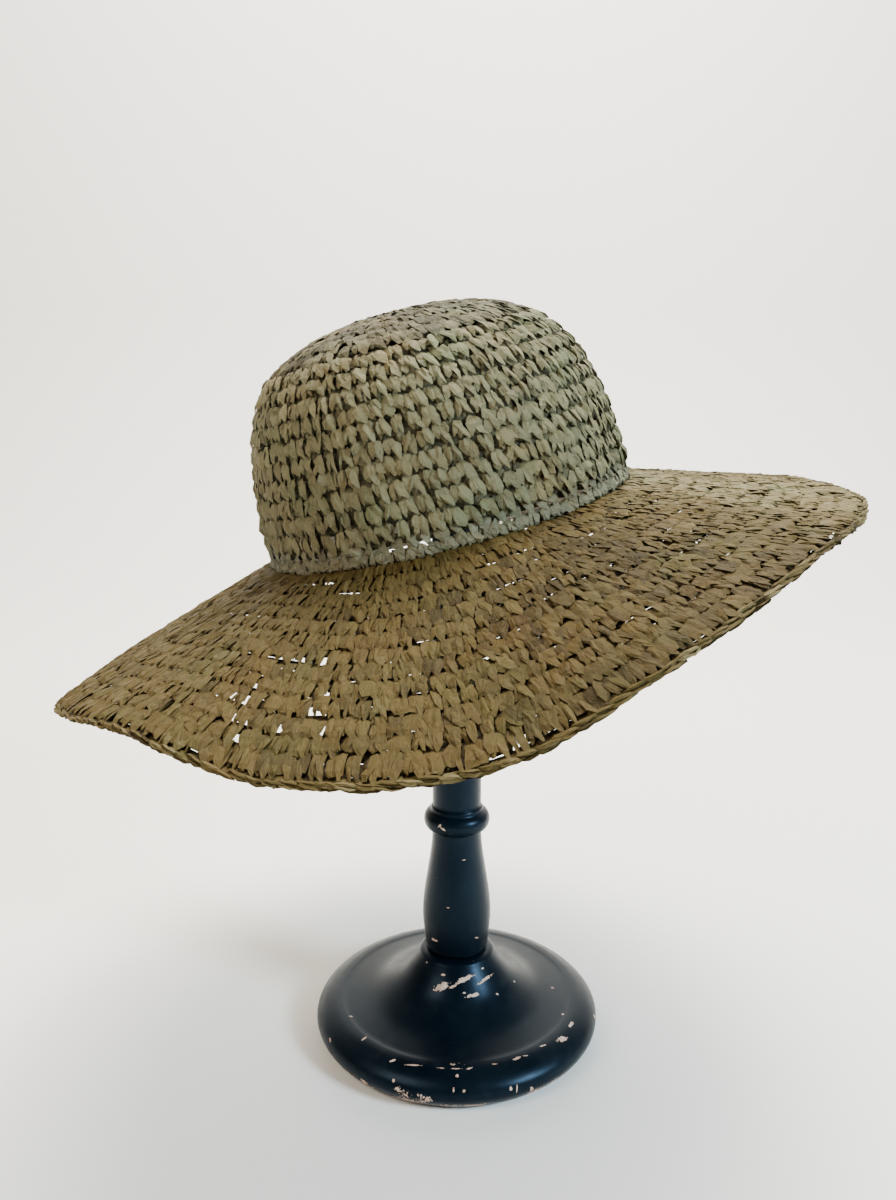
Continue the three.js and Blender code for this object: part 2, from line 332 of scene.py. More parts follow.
ALL_ROUND = math.inf
WORN_EVERYWHERE = 0.10


def worn(piece, marks):
    """Writes how worn each point of a turned piece is. A mark's values are radius, height, spread
    in mm, wear, azimuth and how far round it reaches in degrees."""
    count = len(piece.data.vertices)
    spots = np.empty(count * 3)
    piece.data.vertices.foreach_get("co", spots)
    spots = spots.reshape(-1, 3) * 1000
    radius = np.hypot(spots[:, 0], spots[:, 1])
    azimuth = np.degrees(np.arctan2(spots[:, 1], spots[:, 0]))
    wear = np.full(count, WORN_EVERYWHERE)
    for at_radius, at_height, spread, amount, at_azimuth, reach in marks:
        near = np.exp(-((radius - at_radius) ** 2 + (spots[:, 2] - at_height) ** 2) / spread ** 2)
        near *= np.exp(-(((azimuth - at_azimuth + 180) % 360 - 180) / reach) ** 2)
        wear = np.maximum(wear, amount * near)
    layer = piece.data.attributes.new("wear", "FLOAT", "POINT")
    layer.data.foreach_set("value", wear.astype(np.float32))


FOOT_WEAR = [(79.8, 4, 3.0, 0.85, 0, ALL_ROUND), (81.5, 8, 6, 1.3, 253, 10), (80, 4, 2.5, 1.7, 262, 20),
             (80.5, 4.5, 3.5, 1.25, 310, 28), (68, 20.6, 1.2, 0.62, 275, 50), (81.5, 10, 5, 0.5, 345, 14),
             (18.6, 49.4, 1.6, 0.4, 0, ALL_ROUND)]
STEM_WEAR = [(18.6, 129.5, 2.4, 0.5, 0, ALL_ROUND), (17.4, 49, 3, 0.4, 0, ALL_ROUND),
             (13.9, 135.8, 1.4, 0.4, 0, ALL_ROUND)]
REST_WEAR = [(56.5, 373.5, 4, 0.45, 0, ALL_ROUND)]
foot_paint = painted("foot_paint", charted(BASE_LINE, FOOT_CHIPS))
stem_paint = painted("stem_paint", charted(STEM_LINE, STEM_CHIPS))
for name, line, paint, marks, replaced in (
        ("stand_foot", BASE_LINE, foot_paint, FOOT_WEAR, "stand_base"),
        ("stand_post", STEM_LINE, stem_paint, STEM_WEAR, "stand_stem"),
        ("stand_dome", REST_LINE, stem_paint, REST_WEAR, "stand_rest")):
    piece = turned(name, rounded(line, LINE_STEP))
    worn(piece, marks)
    piece.data.materials.append(paint)
    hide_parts(replaced)
    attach(piece, "root")


# Crown: crocheted straw
# A round dome of flat paper straw, crocheted in rounds from the middle of the top down. Each
# stitch is a folded tent of straw: a broad top, a narrow left leg and a wide right leg whose
# tip stands proud of the next round. Bars and posts of the same straw cross behind.

HAT_PLACE = np.array([-4.5, 0.0, 301.0])
HAT_ROLL, HAT_PITCH = math.radians(14.5), math.radians(1.0)
# height, radius and shift of the crown's outside, from its base up to the middle of its top
CROWN_SECTIONS = [(0, 96.5, 0), (30, 94.5, 0), (57, 89.5, 0), (78, 80.5, -1), (93, 67, -2),
                  (102, 48, -2), (107, 25, -2), (108, 0, -2)]
CROWN_LINE_STEP = 0.5
# the first round starts this far down from the middle, and bends no tighter than this radius
CENTRE_DOWN, CENTRE_RADIUS = 0.4, 3.5
CROWN_ROUNDS = 19
CROWN_SIDE_STITCHES = 76
# the rounds of the crown's flat top, which gain stitches as they widen
CROWN_TOP_ROUNDS = 10
STITCH_WIDTH, FEWEST_STITCHES = 7.8, 7
# the share of stitches with nothing behind them, low on the side and above
LOW_HOLES, HIGH_HOLES = 0.22, 0.07
# how far each round starts past the one before, as a share of a stitch
SIDE_STEP = 0.37
CROWN_WAVE, CALM_ROUNDS = 0.5, 5
# how much darker than usual the straw is on the flat top, and behind the crown's stitches: painted shade in
# both places
CROWN_TOP_PAINTED_SHADE = -0.24
CROWN_BEHIND_PAINTED_SHADE = -0.2

rng = np.random.default_rng(7)
roll_turn = np.array([[math.cos(HAT_ROLL), 0, -math.sin(HAT_ROLL)], [0, 1, 0],
                      [math.sin(HAT_ROLL), 0, math.cos(HAT_ROLL)]])
pitch_turn = np.array([[1, 0, 0], [0, math.cos(HAT_PITCH), -math.sin(HAT_PITCH)],
                       [0, math.sin(HAT_PITCH), math.cos(HAT_PITCH)]])
hat_turn = roll_turn @ pitch_turn

crown_line = rounded([(radius, height, shift) for height, radius, shift in reversed(CROWN_SECTIONS)],
                     CROWN_LINE_STEP)
crown_run = np.concatenate([[0], np.cumsum(np.hypot(*np.diff(crown_line[:, :2], axis=0).T))])
crown_slope = np.gradient(crown_line[:, :2], crown_run, axis=0)
crown_slope /= np.linalg.norm(crown_slope, axis=1)[:, None]
crown_round = crown_run[-1] / CROWN_ROUNDS


def on_hat(points):
    """From the hat's own frame, in mm, to the row frame in metres."""
    return (points @ hat_turn.T + HAT_PLACE) / 1000


def on_crown(turn, down, across, out):
    """Points on the crown: turn round the head, then mm down the cloth, along the round and out."""
    inside = np.clip(down, CENTRE_DOWN, crown_run[-1])
    radius, height, shift = (np.interp(inside, crown_run, crown_line[:, i]) for i in range(3))
    slope_out, slope_up = (np.interp(inside, crown_run, crown_slope[:, i]) for i in range(2))
    angle = turn + across / np.maximum(radius, CENTRE_RADIUS)
    radius = radius - out * slope_up
    height = height - np.maximum(down - crown_run[-1], 0) + out * slope_out
    return on_hat(np.stack([radius * np.cos(angle) + shift, radius * np.sin(angle), height], -1))


# Outlines of a strand across (-1 to 1) and up: paper straw with a fold each side of a groove,
# flat paper straw folded to the left or the right of its middle, and a flat band
TENT = np.array([(-1, 0), (-0.5, 0.9), (-0.1, 0.1), (0.45, 1.0), (1, 0), (0, -0.7)])
FOLD_LEFT = np.array([(-1, 0), (-0.5, 0.9), (1, 0.1), (0.1, -0.7)])
FOLD_RIGHT = np.array([(-1, 0.1), (0.5, 0.9), (1, 0), (-0.1, -0.7)])
BAND = np.array([(-1, 0), (-0.2, 0.8), (1, 0), (0.1, -0.8)])

# The strands of one stitch, each from its top to its tip. lane is its middle line as shares of
# the stitch's width, half is its half width as shares of the stitch's width, or of the round's
# height for the bars behind, fall is a share of the round's height, out is in mm from the
# cloth's face, roll tips its right edge outward in radians, and calm is the share of the usual
# unevenness that its lift and roll have.
STITCH_TOP = {"outline": TENT, "thick": 0.50, "roll": -0.06,
              "lane": (0.0, 0.01, 0.03, 0.06),
              "half": (0.22, 0.39, 0.42, 0.30),
              "fall": (0.03, 0.17, 0.42, 0.66),
              "out": (-1.9, -0.2, 0.15, 0.0)}
RIGHT_LEG = {"outline": FOLD_LEFT, "thick": 0.44, "roll": -0.18,
             "lane": (0.10, 0.18, 0.29, 0.42),
             "half": (0.16, 0.28, 0.26, 0.06),
             "fall": (0.12, 0.40, 0.76, 1.10),
             "out": (-0.5, 0.35, 0.70, 0.2)}
LEFT_LEG = {"outline": FOLD_RIGHT, "thick": 0.40, "roll": 0.22,
            "lane": (-0.18, -0.22, -0.25, -0.27),
            "half": (0.14, 0.22, 0.20, 0.05),
            "fall": (0.16, 0.42, 0.70, 0.93),
            "out": (-0.6, 0.15, 0.30, -0.4)}
MIDDLE_LEG = {"outline": FOLD_LEFT, "thick": 0.34, "roll": 0.0,
              "lane": (-0.04, -0.01, 0.03, 0.08),
              "half": (0.14, 0.20, 0.18, 0.05),
              "fall": (0.20, 0.45, 0.82, 1.04),
              "out": (-1.7, -1.2, -1.1, -1.6)}
CROWN_LEGS = (STITCH_TOP, RIGHT_LEG, LEFT_LEG, MIDDLE_LEG)
# flatter and fuller legs, where the cloth is worked tight
FLAT_TOP = {"outline": TENT, "thick": 0.28, "roll": -0.02, "calm": 0.5,
            "lane": (0.0, 0.0, 0.02, 0.05),
            "half": (0.34, 0.47, 0.48, 0.38),
            "fall": (-0.20, -0.02, 0.40, 0.84),
            "out": (-1.7, -0.35, -0.12, -0.40)}
FLAT_RIGHT_LEG = {"outline": FOLD_LEFT, "thick": 0.28, "roll": -0.08, "calm": 0.5,
                  "lane": (0.12, 0.17, 0.27, 0.38),
                  "half": (0.20, 0.28, 0.26, 0.09),
                  "fall": (0.0, 0.36, 0.80, 1.14),
                  "out": (-1.1, -0.15, 0.15, -0.45)}
FLAT_LEFT_LEG = {"outline": FOLD_RIGHT, "thick": 0.28, "roll": 0.09, "calm": 0.5,
                 "lane": (-0.22, -0.25, -0.25, -0.20),
                 "half": (0.18, 0.25, 0.23, 0.08),
                 "fall": (0.02, 0.36, 0.74, 1.02),
                 "out": (-1.2, -0.25, 0.05, -0.65)}
FLAT_LEGS = (FLAT_TOP, FLAT_RIGHT_LEG, FLAT_LEFT_LEG)
CROSS_BAR = {"outline": BAND, "thick": 0.6, "roll": 0.0, "level": True,
             "lane": (-0.66, -0.32, 0.0, 0.32, 0.66),
             "half": (0.26, 0.29, 0.30, 0.29, 0.26),
             "fall": (0.96, 0.99, 1.01, 0.99, 0.96),
             "out": (-2.6, -2.4, -2.3, -2.4, -2.6)}
MIDDLE_BAR = {"outline": BAND, "thick": 0.5, "roll": 0.0, "level": True,
              "lane": (-0.64, -0.2, 0.2, 0.64),
              "half": (0.27, 0.30, 0.30, 0.27),
              "fall": (0.47, 0.49, 0.51, 0.53),
              "out": (-2.3, -1.9, -1.9, -2.3)}
SIDE_POST = {"outline": BAND, "thick": 0.5, "roll": 0.0,
             "lane": (0.66, 0.63, 0.58, 0.54),
             "half": (0.18, 0.24, 0.24, 0.18),
             "fall": (-0.12, 0.08, 0.30, 0.52),
             "out": (-1.9, -1.4, -1.4, -1.9)}
# how far in mm the straw is crumpled
CRUMPLE = 0.15
# how much a fold's height and its place across vary from strand to strand
FOLD_VARIES, FOLD_WANDERS = 0.40, 0.22
# how much darker the straw is for each mm below this depth, down to the deepest that counts: painted shade
# in the hollows between the stitches
DEPTH_PAINTED_SHADE, DEEP_FROM, DEEP_MOST = 0.15, 0.8, 1.6
# how much each strand varies, and each point along it: its lane as shares of the width, its
# fall as shares of the height, its lift in mm, its half width and thickness as shares, its roll
STRAND_SLANT, STRAND_LANE, POINT_LANE = 0.10, 0.055, 0.03
STRAND_FALL, POINT_FALL = 0.085, 0.025
STRAND_LIFT, POINT_LIFT = 0.22, 0.09
STRAND_HALF, POINT_HALF, STRAND_THICK = 0.15, 0.09, 0.16
STRAND_ROLL, POINT_ROLL = 0.18, 0.06
STITCH_SIZE, STITCH_TONE, STRAND_TONE = 0.11, 0.065, 0.05
# how much darker than the stitch the bars and the post behind it usually are: painted shade on the straw
# that lies behind
BEHIND_PAINTED_SHADE = -0.15
# a strand thins where it narrows, from this share of its width, down to this share
THIN_FROM, THIN_MOST = 1.6, 0.3
BAR_UNRULY, POST_UNRULY = 0.4, 0.6


def strands(place, outline, across, down, out, half, thick, roll, tone, crumple=CRUMPLE):
    """Many strands at once, from one row of mm values a strand; place turns mm into points."""
    along = np.stack([np.gradient(across, axis=1), np.gradient(down, axis=1), np.gradient(out, axis=1)], -1)
    along /= np.linalg.norm(along, axis=2, keepdims=True)
    side = np.stack([along[..., 1], -along[..., 0], np.zeros_like(across)], -1)
    side /= np.linalg.norm(side, axis=2, keepdims=True)
    proud = np.cross(side, along)
    proud *= np.sign(proud[..., 2:3])
    turn = roll[..., None]
    side, proud = side * np.cos(turn) + proud * np.sin(turn), proud * np.cos(turn) - side * np.sin(turn)
    creased = outline[:, 1] > 0
    pleat = 1 + FOLD_VARIES * rng.standard_normal((len(across), 1, len(outline))) * creased
    lie = FOLD_WANDERS * rng.standard_normal((len(across), 1, 1)) * creased
    wide = (outline[:, 0] + lie) * half[..., None]
    high = outline[:, 1] * pleat * thick[..., None]
    points = np.stack([across, down, out], -1)[:, :, None]
    points = points + side[:, :, None] * wide[..., None] + proud[:, :, None] * high[..., None]
    points = points + crumple * rng.standard_normal(points.shape)
    # painted shade: straw lying deep in the cloth is coloured darker in its tone
    depth = np.clip(-DEEP_FROM - points[..., 2], 0, DEEP_MOST)
    steps = np.hypot(np.diff(across, axis=1), np.diff(down, axis=1))
    length = np.concatenate([np.zeros((len(across), 1)), np.cumsum(steps, axis=1)], axis=1)
    girth = np.cumsum(np.hypot(*np.diff(outline, axis=0, prepend=outline[:1]).T))
    number = rng.uniform(0, 500, len(across))
    fibre = np.stack(np.broadcast_arrays(girth * half[..., None], length[..., None],
                                         number[:, None, None]), -1)
    return {"points": place(points[..., 1], points[..., 0], points[..., 2]), "fibre": fibre,
            "tone": tone[:, None, None] - DEPTH_PAINTED_SHADE * depth}


def laid(place, strand, width, height, tone, keep=None, unruly=1.0):
    """One strand of the given kind for each stitch, none quite like the next."""
    count, stations = len(width), len(strand["lane"])

    def vary(amount, each=1):
        return unruly * amount * rng.standard_normal((count, each))

    slant = vary(STRAND_SLANT) * np.linspace(-1, 1, stations)
    lane = np.array(strand["lane"]) + vary(STRAND_LANE) + slant + vary(POINT_LANE, stations)
    across = lane * width[:, None]
    fall = np.array(strand["fall"]) + vary(STRAND_FALL) + vary(POINT_FALL, stations)
    down = fall * height[:, None]
    calm = strand.get("calm", 1.0)
    out = np.array(strand["out"]) + calm * (vary(STRAND_LIFT) + vary(POINT_LIFT, stations))
    span = height if "level" in strand else width
    half = np.array(strand["half"]) * span[:, None] * (1 + vary(STRAND_HALF) + vary(POINT_HALF, stations))
    narrowed = half / half.max(axis=1, keepdims=True)
    thick = strand["thick"] * (1 + vary(STRAND_THICK)) * np.clip(narrowed * THIN_FROM, THIN_MOST, 1)
    roll = strand["roll"] + calm * (vary(STRAND_ROLL) + vary(POINT_ROLL, stations))
    parts = across, down, out, half, thick, roll, tone + STRAND_TONE * rng.standard_normal(count)
    if keep is None:
        return strands(place, strand["outline"], *parts, crumple=unruly * CRUMPLE)
    kept = [part[keep] for part in parts]
    return strands(lambda *spot: place(*spot, keep=keep), strand["outline"], *kept,
                   crumple=unruly * CRUMPLE)


def stitches(place, legs, width, height, hole, unruly=1.0, painted_light_and_tone=0.0, behind_shade=BEHIND_PAINTED_SHADE):
    """A round's stitches; nothing lies behind a stitch where hole is true."""
    # the tone is shifted here by painted light on the brim's right, painted shade on the crown's top, and
    # browner straw on the brim's front
    tone = 0.5 + painted_light_and_tone + STITCH_TONE * rng.standard_normal(len(width))
    size = 1 + STITCH_SIZE * unruly * rng.standard_normal(len(width))
    bundles = [laid(place, leg, size * width, height, tone, unruly=unruly) for leg in legs]
    # the bars and the post behind carry painted shade in their tone
    bundles.append(laid(place, CROSS_BAR, width, height, tone + behind_shade, unruly=BAR_UNRULY))
    bundles.append(laid(place, MIDDLE_BAR, width, height, tone + behind_shade, keep=~hole, unruly=BAR_UNRULY))
    bundles.append(laid(place, SIDE_POST, width, height, tone + behind_shade, keep=~hole, unruly=POST_UNRULY))
    return bundles


# the free edge round a strand's cell on the UV map, as a share of the cell
CELL_EDGE = 0.06


def straw_piece(name, bundles, material, replaced):
    """One mesh of all the bundles of strands, each strand with a cell of its own on the UV map."""
    cells = math.ceil(math.sqrt(sum(len(bundle["points"]) for bundle in bundles)))
    spots, fibres, tones, corners, sheet = [], [], [], [], []
    first, strand = 0, 0
    for bundle in bundles:
        count, stations, ring = bundle["points"].shape[:3]
        index = first + np.arange(count * stations * ring).reshape(count, stations, ring)
        after = np.roll(index, -1, axis=2)
        around = [index[:, :-1], after[:, :-1], after[:, 1:], index[:, 1:]]
        corners.append(np.stack(around, -1).reshape(-1, 4))
        cell = strand + np.arange(count)
        corner = np.stack([cell % cells, cell // cells], -1)[:, None, None, None]
        round_it = (np.arange(ring)[None, :, None] + np.array([0, 1, 1, 0])) / ring
        along_it = (np.arange(stations - 1)[:, None, None] + np.array([0, 0, 1, 1])) / (stations - 1)
        inside = np.stack(np.broadcast_arrays(round_it, along_it), -1)
        sheet.append(((corner + CELL_EDGE + (1 - 2 * CELL_EDGE) * inside) / cells).reshape(-1, 2))
        spots.append(bundle["points"].reshape(-1, 3))
        fibres.append(bundle["fibre"].reshape(-1, 3))
        tones.append(bundle["tone"].reshape(-1))
        first += count * stations * ring
        strand += count
    corners = np.vstack(corners)
    mesh = bpy.data.meshes.new(name)
    mesh.vertices.add(first)
    mesh.vertices.foreach_set("co", np.vstack(spots).ravel())
    mesh.loops.add(corners.size)
    mesh.loops.foreach_set("vertex_index", corners.ravel())
    mesh.polygons.add(len(corners))
    mesh.polygons.foreach_set("loop_start", np.arange(0, corners.size, 4))
    mesh.polygons.foreach_set("use_smooth", np.zeros(len(corners), bool))
    mesh.update(calc_edges=True)
    mesh.uv_layers.new(name="OFBake").data.foreach_set("uv", np.vstack(sheet).ravel())
    fibre = mesh.attributes.new("fibre", "FLOAT_VECTOR", "POINT")
    fibre.data.foreach_set("vector", np.vstack(fibres).ravel())
    mesh.attributes.new("tone", "FLOAT", "POINT").data.foreach_set("value", np.concatenate(tones))
    mesh.materials.append(material)
    piece = bpy.data.objects.new(name, mesh)
    bpy.context.scene.collection.objects.link(piece)
    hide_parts(replaced)
    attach(piece, "root")


# Flat paper straw: long fibres along each strand, a shade of its own for each strand that also carries
# painted light and shade from its depth and place, painted shade along the creases of its pleats, and
# broader patches where the whole cloth runs warmer or greener
straw_group, straw_in, straw_out = new_group("paper_straw", [], [
    ("Shade", "NodeSocketFloat"), ("Blotch", "NodeSocketFloat"), ("Patch", "NodeSocketFloat"),
    ("Height", "NodeSocketFloat")])
fibre = node(straw_group, "ShaderNodeAttribute", attribute_name="fibre")
tone = node(straw_group, "ShaderNodeAttribute", attribute_name="tone")
stretched = node(straw_group, "ShaderNodeVectorMath", operation="MULTIPLY")
stretched.inputs[1].default_value = (2.6, 0.24, 1.0)
straw_group.links.new(fibre.outputs["Vector"], stretched.inputs[0])
streaks = node(straw_group, "ShaderNodeTexNoise", inputs={"Scale": 1.0, "Detail": 4.0, "Roughness": 0.62})
straw_group.links.new(stretched.outputs[0], streaks.inputs["Vector"])
blotches = node(straw_group, "ShaderNodeTexNoise", inputs={"Scale": 0.33, "Detail": 3.0, "Roughness": 0.6})
straw_group.links.new(fibre.outputs["Vector"], blotches.inputs["Vector"])
where = node(straw_group, "ShaderNodeTexCoord")
patches = node(straw_group, "ShaderNodeTexNoise", inputs={"Scale": 34.0, "Detail": 3.0, "Roughness": 0.65})
straw_group.links.new(where.outputs["Object"], patches.inputs["Vector"])
pleated = node(straw_group, "ShaderNodeVectorMath", operation="MULTIPLY")
pleated.inputs[1].default_value = (0.8, 0.13, 1.0)
straw_group.links.new(fibre.outputs["Vector"], pleated.inputs[0])
pleats = node(straw_group, "ShaderNodeTexNoise", inputs={"Scale": 1.0, "Detail": 1.0, "Roughness": 0.4})
straw_group.links.new(pleated.outputs[0], pleats.inputs["Vector"])
off_crease = math_node(straw_group, "ABSOLUTE", math_node(
    straw_group, "SUBTRACT", pleats.outputs["Fac"], 0.5))
flat = range_node(straw_group, off_crease, 0.0, 0.035)
shade = math_node(straw_group, "ADD", tone.outputs["Fac"], math_node(
    straw_group, "MULTIPLY", math_node(straw_group, "SUBTRACT", streaks.outputs["Fac"], 0.5), 0.8))
# the creases of the pleats are darkened: painted shade in the folds
shade = math_node(straw_group, "SUBTRACT", shade, math_node(
    straw_group, "MULTIPLY", math_node(straw_group, "SUBTRACT", 1.0, flat), 0.12))
straw_group.links.new(shade, straw_out.inputs["Shade"])
straw_group.links.new(blotches.outputs["Fac"], straw_out.inputs["Blotch"])
straw_group.links.new(patches.outputs["Fac"], straw_out.inputs["Patch"])
straw_group.links.new(math_node(straw_group, "ADD", streaks.outputs["Fac"], math_node(
    straw_group, "MULTIPLY", flat, 0.35)), straw_out.inputs["Height"])


def straw(name, dark, middle, light, warm, green, **constants):
    """Paper straw in three shades, with warm and green patches."""
    material, tree, shader = new_material(name, **constants)
    grain = node(tree, "ShaderNodeGroup", node_tree=straw_group)
    colour = mix_node(tree, range_node(tree, grain.outputs["Shade"], 0.05, 0.5), dark, middle)
    colour = mix_node(tree, range_node(tree, grain.outputs["Shade"], 0.5, 0.98), colour, light)
    colour = mix_node(tree, range_node(tree, grain.outputs["Blotch"], 0.55, 0.8, 0.0, 0.2), colour, dark)
    warmed = range_node(tree, grain.outputs["Patch"], 0.52, 0.68, 0.0, 0.7)
    colour = mix_node(tree, warmed, colour, warm, "MULTIPLY")
    greened = range_node(tree, grain.outputs["Patch"], 0.32, 0.48, 0.7, 0.0)
    colour = mix_node(tree, greened, colour, green, "MULTIPLY")
    tree.links.new(colour, shader.inputs["Base Color"])
    sheen = range_node(tree, grain.outputs["Height"], 0.65, 1.05, 0.68, 0.56)
    tree.links.new(sheen, shader.inputs["Roughness"])
    bump = node(tree, "ShaderNodeBump", inputs={"Strength": 0.55, "Distance": 0.0005})
    tree.links.new(grain.outputs["Height"], bump.inputs["Height"])
    tree.links.new(bump.outputs[0], shader.inputs["Normal"])
    return material


WARM_TINT, GREEN_TINT = (1.0, 0.88, 0.72, 1), (0.82, 0.98, 0.92, 1)
crown_straw = straw("crown_straw",
                    (0.038, 0.034, 0.018, 1), (0.152, 0.134, 0.070, 1), (0.280, 0.248, 0.138, 1),
                    WARM_TINT, GREEN_TINT, Specular_IOR_Level=0.12)


# a round's two waves: how many go round the head, and their shares of the height
SLOW_WAVES, SLOW_SHARE, QUICK_WAVES, QUICK_SHARE = 3, 0.6, 8, 0.4


def wavy(turn, height):
    """A small smooth unevenness along a round, in mm."""
    first, second = rng.uniform(0, 2 * math.pi, 2)
    return height * (SLOW_SHARE * np.sin(SLOW_WAVES * turn + first)
                     + QUICK_SHARE * np.sin(QUICK_WAVES * turn + second))


def crown_round_place(turn, top):
    """How a round of the crown places its strands, one turn and one top line for each stitch."""
    def place(down, across, out, keep=slice(None)):
        return on_crown(turn[keep][:, None, None], top[keep][:, None, None] + down, across, out)
    return place


crown_pieces = {"crown_top": range(0, 9),
                "crown_upper_side": range(9, 14),
                "crown_lower_side": range(14, 18)}
phase = 0.0
for name, rounds in crown_pieces.items():
    bundles = []
    for row in rounds:
        ring = 2 * math.pi * np.interp((row + 0.5) * crown_round, crown_run, crown_line[:, 0])
        count = max(FEWEST_STITCHES, round(ring / STITCH_WIDTH))
        if row >= CROWN_TOP_ROUNDS:
            count = CROWN_SIDE_STITCHES
        phase += SIDE_STEP
        turn = (np.arange(count) + phase) * 2 * math.pi / count
        top = row * crown_round + wavy(turn, CROWN_WAVE * min(1, row / CALM_ROUNDS))
        hole = rng.random(count) < (LOW_HOLES if row >= CROWN_TOP_ROUNDS + 2 else HIGH_HOLES)
        legs = CROWN_LEGS if row >= CROWN_TOP_ROUNDS - 2 else FLAT_LEGS
        # the rounds of the flat top get painted shade in their tone
        painted_light_and_tone = CROWN_TOP_PAINTED_SHADE if row < CROWN_TOP_ROUNDS - 2 else 0.0
        bundles += stitches(crown_round_place(turn, top), legs, np.full(count, ring / count),
                            np.full(count, crown_round), hole, painted_light_and_tone=painted_light_and_tone, behind_shade=CROWN_BEHIND_PAINTED_SHADE)
    straw_piece(name, bundles, crown_straw, "crown")


# Base row: the finer round between crown and brim
# One round of greyer straw where crown and brim meet: slanting posts with open holes between
# them, and under them a tight row of small stitches.

# the tight row's stitches, and its share of the round's height
SMALL_STITCHES, SMALL_SHARE = 104, 0.5
SMALL_WAVE, SMALL_UNRULY = 0.3, 1.3
BASE_WAVE, BASE_TONE = 0.4, 0.1
base_straw = straw("base_row_straw",
                   (0.036, 0.032, 0.018, 1), (0.128, 0.114, 0.063, 1), (0.225, 0.210, 0.130, 1),
                   WARM_TINT, GREEN_TINT, Specular_IOR_Level=0.3)
BASE_POSTS = 88
BASE_POST = {"outline": FOLD_LEFT, "thick": 0.42, "roll": -0.1,
             "lane": (-0.06, 0.0, 0.10, 0.18, 0.22),
             "half": (0.30, 0.37, 0.26, 0.20, 0.16),
             "fall": (-0.10, 0.06, 0.26, 0.46, 0.60),
             "out": (-1.7, -0.5, -0.3, -0.6, -1.4)}
turn = (np.arange(BASE_POSTS) + phase) * 2 * math.pi / BASE_POSTS
base_top = (CROWN_ROUNDS - 1) * crown_round
width = np.full(BASE_POSTS, 2 * math.pi * CROWN_SECTIONS[0][1] / BASE_POSTS)
height = np.full(BASE_POSTS, crown_round)
tone = 0.5 + BASE_TONE * rng.standard_normal(BASE_POSTS)
place = crown_round_place(turn, base_top + wavy(turn, BASE_WAVE))
bundles = [laid(place, BASE_POST, width, height, tone)]
turn = np.arange(SMALL_STITCHES) * 2 * math.pi / SMALL_STITCHES
width = np.full(SMALL_STITCHES, 2 * math.pi * CROWN_SECTIONS[0][1] / SMALL_STITCHES)
height = np.full(SMALL_STITCHES, SMALL_SHARE * crown_round)
top = base_top + (1 - SMALL_SHARE) * crown_round + wavy(turn, SMALL_WAVE)
no_holes = np.zeros(SMALL_STITCHES, bool)
bundles += stitches(crown_round_place(turn, top), FLAT_LEGS, width, height, no_holes, SMALL_UNRULY)
straw_piece("crown_base_row", bundles, base_straw, "base_row")


# Brim: crocheted straw
# A wide soft brim in the same straw, thirteen rounds out from the base row, worked flatter and
# closer than the crown. It droops most at the front and waves a little, and here and there,
# mostly at the front left, a stitch stands open.

# azimuth, droop in degrees, width in mm; azimuth 0 is on +X and 270 is the front
BRIM_SECTIONS = [
    (0, 19.5, 122), (22.5, 18, 124), (45, 19.5, 124), (67.5, 20, 124), (90, 20, 124), (112.5, 19, 125),
    (135, 18, 126), (157.5, 17.5, 127), (180, 17.5, 128), (202.5, 14, 124), (225, 14.5, 117),
    (247.5, 22.5, 127), (270, 27, 128), (292.5, 18.5, 121), (315, 13, 116), (337.5, 18, 113)]
BRIM_ROUNDS = 13
BRIM_LIFT, BRIM_WAVE = -0.3, 0.45
EDGING_WIDTH = 5.6
GAP = 0.3
FIRST_ROUND_STITCHES, LAST_ROUND_STITCHES = 112, 182
BRIM_UNRULY = 1.1
# the tone of the bars that close the seam under the base row, darker than the stitches: painted shade in
# the seam
SEAM_BAR_SHADED_TONE = 0.3
# how far the last round's stitches reach down, so that they meet the edging, and how far down
# its round a stitch's width is measured
LAST_ROUND_REACH = 1.16
WIDEST_AT = 0.3
# Where the photograph shows light through the brim, in its pixels: the large holes and the small
LARGE_HOLES = [(341, 742), (232, 715), (235, 737), (248, 721), (261, 731), (297, 737), (290, 719),
               (325, 726), (403, 663), (421, 663), (422, 680), (250, 747), (331, 687), (278, 736)]
SMALL_HOLES = [(232, 693), (240, 708), (256, 681), (261, 677), (267, 688), (318, 743), (312, 705),
               (329, 705), (320, 665), (288, 654), (305, 656), (316, 756), (294, 754), (390, 740),
               (496, 700), (492, 656), (484, 755), (527, 732), (541, 669)]
# how finely the holes are looked for, in degrees and in parts of a round
SEARCH_DEGREES, SEARCH_PARTS = 0.2, 10

head_radius = CROWN_SECTIONS[0][1]
BRIM_START_INSET = 1.4
start_radius = head_radius - BRIM_START_INSET
knots = []
for azimuth, droop, width in BRIM_SECTIONS:
    angle, fall = math.radians(azimuth), math.radians(droop)
    reach = head_radius + width * math.cos(fall)
    knots.append((reach * math.cos(angle), reach * math.sin(angle), -width * math.sin(fall)))
knots = np.array(knots)


def brim_run(turn):
    """Where the brim starts at a turn round the head, and the straight run to the hat's edge."""
    at = (turn / (2 * math.pi) % 1) * len(knots)
    knot = np.floor(at).astype(int)
    t = (at - knot)[..., None]
    before, here, there, after = (knots[(knot + k) % len(knots)] for k in (-1, 0, 1, 2))
    edge = 0.5 * (2 * here + (there - before) * t + (2 * before - 5 * here + 4 * there - after) * t ** 2
                  + (3 * here - before - 3 * there + after) * t ** 3)
    start = np.stack([start_radius * np.cos(turn), start_radius * np.sin(turn), 0 * turn], -1)
    return start, edge - start


def round_width(turn):
    """How wide one round of the brim is at a turn round the head, in mm."""
    return (np.linalg.norm(brim_run(turn)[1], axis=-1) - EDGING_WIDTH - GAP) / BRIM_ROUNDS


